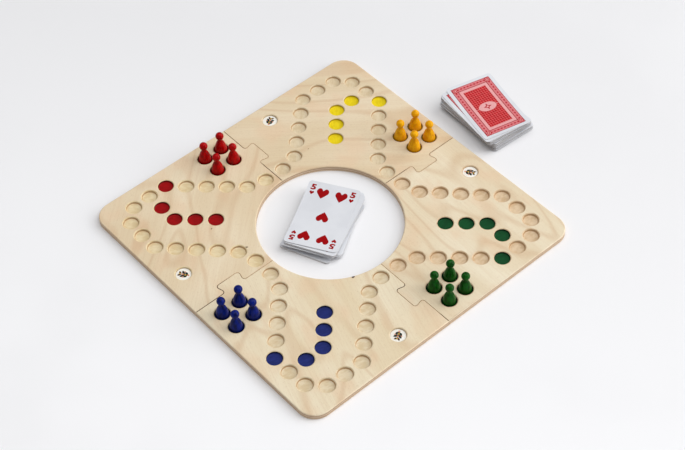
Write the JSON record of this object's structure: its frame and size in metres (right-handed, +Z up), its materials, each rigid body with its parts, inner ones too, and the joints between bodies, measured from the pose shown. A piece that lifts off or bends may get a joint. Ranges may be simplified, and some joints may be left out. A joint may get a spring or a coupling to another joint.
{
  "type": "race board game",
  "caption": "Square plywood race board of interlocking quarters with round pits, an open card well, pawns, and piles of playing cards.",
  "frame": {"origin": "middle of the board's open card well, level with the table the set lies on", "axes": "+Z up; the seams between the quarters run along X and Y, the yellow quarter is towards +X +Y, and the draw pile lies beyond the board's +X side"},
  "size_m": [0.4465, 0.3556, 0.0303],
  "materials": {
    "birch_plywood": "sanded and clear sealed birch plywood",
    "printed_disc": "printed, satin",
    "lacquer_yellow": "gloss lacquer on turned wood",
    "lacquer_red": "gloss lacquer on turned wood",
    "lacquer_blue": "gloss lacquer on turned wood",
    "lacquer_green": "gloss lacquer on turned wood",
    "card_stock": "coated card, cut edges",
    "card_face": "coated card, satin",
    "card_back": "coated card, satin"
  },
  "bodies": {
    "quarter_yellow": {"board_quarter_yellow": "birch_plywood", "picture_disc_yellow": "printed_disc"},
    "quarter_red": {"board_quarter_red": "birch_plywood", "picture_disc_red": "printed_disc"},
    "quarter_blue": {"board_quarter_blue": "birch_plywood", "picture_disc_blue": "printed_disc"},
    "quarter_green": {"board_quarter_green": "birch_plywood", "picture_disc_green": "printed_disc"},
    "pawn_yellow_1": {"pawn_yellow_1": "lacquer_yellow"},
    "pawn_yellow_2": {"pawn_yellow_2": "lacquer_yellow"},
    "pawn_yellow_3": {"pawn_yellow_3": "lacquer_yellow"},
    "pawn_yellow_4": {"pawn_yellow_4": "lacquer_yellow"},
    "pawn_red_1": {"pawn_red_1": "lacquer_red"},
    "pawn_red_2": {"pawn_red_2": "lacquer_red"},
    "pawn_red_3": {"pawn_red_3": "lacquer_red"},
    "pawn_red_4": {"pawn_red_4": "lacquer_red"},
    "pawn_blue_1": {"pawn_blue_1": "lacquer_blue"},
    "pawn_blue_2": {"pawn_blue_2": "lacquer_blue"},
    "pawn_blue_3": {"pawn_blue_3": "lacquer_blue"},
    "pawn_blue_4": {"pawn_blue_4": "lacquer_blue"},
    "pawn_green_1": {"pawn_green_1": "lacquer_green"},
    "pawn_green_2": {"pawn_green_2": "lacquer_green"},
    "pawn_green_3": {"pawn_green_3": "lacquer_green"},
    "pawn_green_4": {"pawn_green_4": "lacquer_green"},
    "discard_pile": {"discard_packet_1": "card_stock", "discard_packet_2": "card_stock", "discard_packet_3": "card_stock", "discard_packet_4": "card_stock"},
    "discard_top_card": {"discard_top_card": "card_face"},
    "draw_pile": {"draw_packet_1": "card_stock", "draw_packet_2": "card_stock", "draw_packet_3": "card_stock"},
    "draw_second_card": {"draw_second_card": "card_back"},
    "draw_top_card": {"draw_top_card": "card_back"}
  },
  "joints": [
    {"name": "quarter_yellow_lift", "type": "slide", "parent": "quarter_blue", "child": "quarter_yellow", "axis": [0, 0, 1], "range_m": [0, 0.02]},
    {"name": "quarter_red_lift", "type": "slide", "parent": "quarter_blue", "child": "quarter_red", "axis": [0, 0, 1], "range_m": [0, 0.02]},
    {"name": "quarter_green_lift", "type": "slide", "parent": "quarter_blue", "child": "quarter_green", "axis": [0, 0, 1], "range_m": [0, 0.02]},
    {"name": "pawn_yellow_1_lift", "type": "slide", "parent": "quarter_yellow", "child": "pawn_yellow_1", "axis": [0, 0, 1], "range_m": [0, 0.04]},
    {"name": "pawn_yellow_2_lift", "type": "slide", "parent": "quarter_yellow", "child": "pawn_yellow_2", "axis": [0, 0, 1], "range_m": [0, 0.04]},
    {"name": "pawn_yellow_3_lift", "type": "slide", "parent": "quarter_yellow", "child": "pawn_yellow_3", "axis": [0, 0, 1], "range_m": [0, 0.04]},
    {"name": "pawn_yellow_4_lift", "type": "slide", "parent": "quarter_yellow", "child": "pawn_yellow_4", "axis": [0, 0, 1], "range_m": [0, 0.04]},
    {"name": "pawn_red_1_lift", "type": "slide", "parent": "quarter_red", "child": "pawn_red_1", "axis": [0, 0, 1], "range_m": [0, 0.04]},
    {"name": "pawn_red_2_lift", "type": "slide", "parent": "quarter_red", "child": "pawn_red_2", "axis": [0, 0, 1], "range_m": [0, 0.04]},
    {"name": "pawn_red_3_lift", "type": "slide", "parent": "quarter_red", "child": "pawn_red_3", "axis": [0, 0, 1], "range_m": [0, 0.04]},
    {"name": "pawn_red_4_lift", "type": "slide", "parent": "quarter_red", "child": "pawn_red_4", "axis": [0, 0, 1], "range_m": [0, 0.04]},
    {"name": "pawn_blue_1_lift", "type": "slide", "parent": "quarter_blue", "child": "pawn_blue_1", "axis": [0, 0, 1], "range_m": [0, 0.04]},
    {"name": "pawn_blue_2_lift", "type": "slide", "parent": "quarter_blue", "child": "pawn_blue_2", "axis": [0, 0, 1], "range_m": [0, 0.04]},
    {"name": "pawn_blue_3_lift", "type": "slide", "parent": "quarter_blue", "child": "pawn_blue_3", "axis": [0, 0, 1], "range_m": [0, 0.04]},
    {"name": "pawn_blue_4_lift", "type": "slide", "parent": "quarter_blue", "child": "pawn_blue_4", "axis": [0, 0, 1], "range_m": [0, 0.04]},
    {"name": "pawn_green_1_lift", "type": "slide", "parent": "quarter_green", "child": "pawn_green_1", "axis": [0, 0, 1], "range_m": [0, 0.04]},
    {"name": "pawn_green_2_lift", "type": "slide", "parent": "quarter_green", "child": "pawn_green_2", "axis": [0, 0, 1], "range_m": [0, 0.04]},
    {"name": "pawn_green_3_lift", "type": "slide", "parent": "quarter_green", "child": "pawn_green_3", "axis": [0, 0, 1], "range_m": [0, 0.04]},
    {"name": "pawn_green_4_lift", "type": "slide", "parent": "quarter_green", "child": "pawn_green_4", "axis": [0, 0, 1], "range_m": [0, 0.04]},
    {"name": "discard_pile_lift", "type": "slide", "parent": "quarter_blue", "child": "discard_pile", "axis": [0, 0, 1], "range_m": [0, 0.05]},
    {"name": "discard_top_card_lift", "type": "slide", "parent": "discard_pile", "child": "discard_top_card", "axis": [0, 0, 1], "range_m": [0, 0.03]},
    {"name": "draw_pile_lift", "type": "slide", "parent": "quarter_blue", "child": "draw_pile", "axis": [0, 0, 1], "range_m": [0, 0.05]},
    {"name": "draw_second_card_lift", "type": "slide", "parent": "draw_pile", "child": "draw_second_card", "axis": [0, 0, 1], "range_m": [0, 0.03]},
    {"name": "draw_top_card_lift", "type": "slide", "parent": "draw_second_card", "child": "draw_top_card", "axis": [0, 0, 1], "range_m": [0, 0.03]}
  ]
}
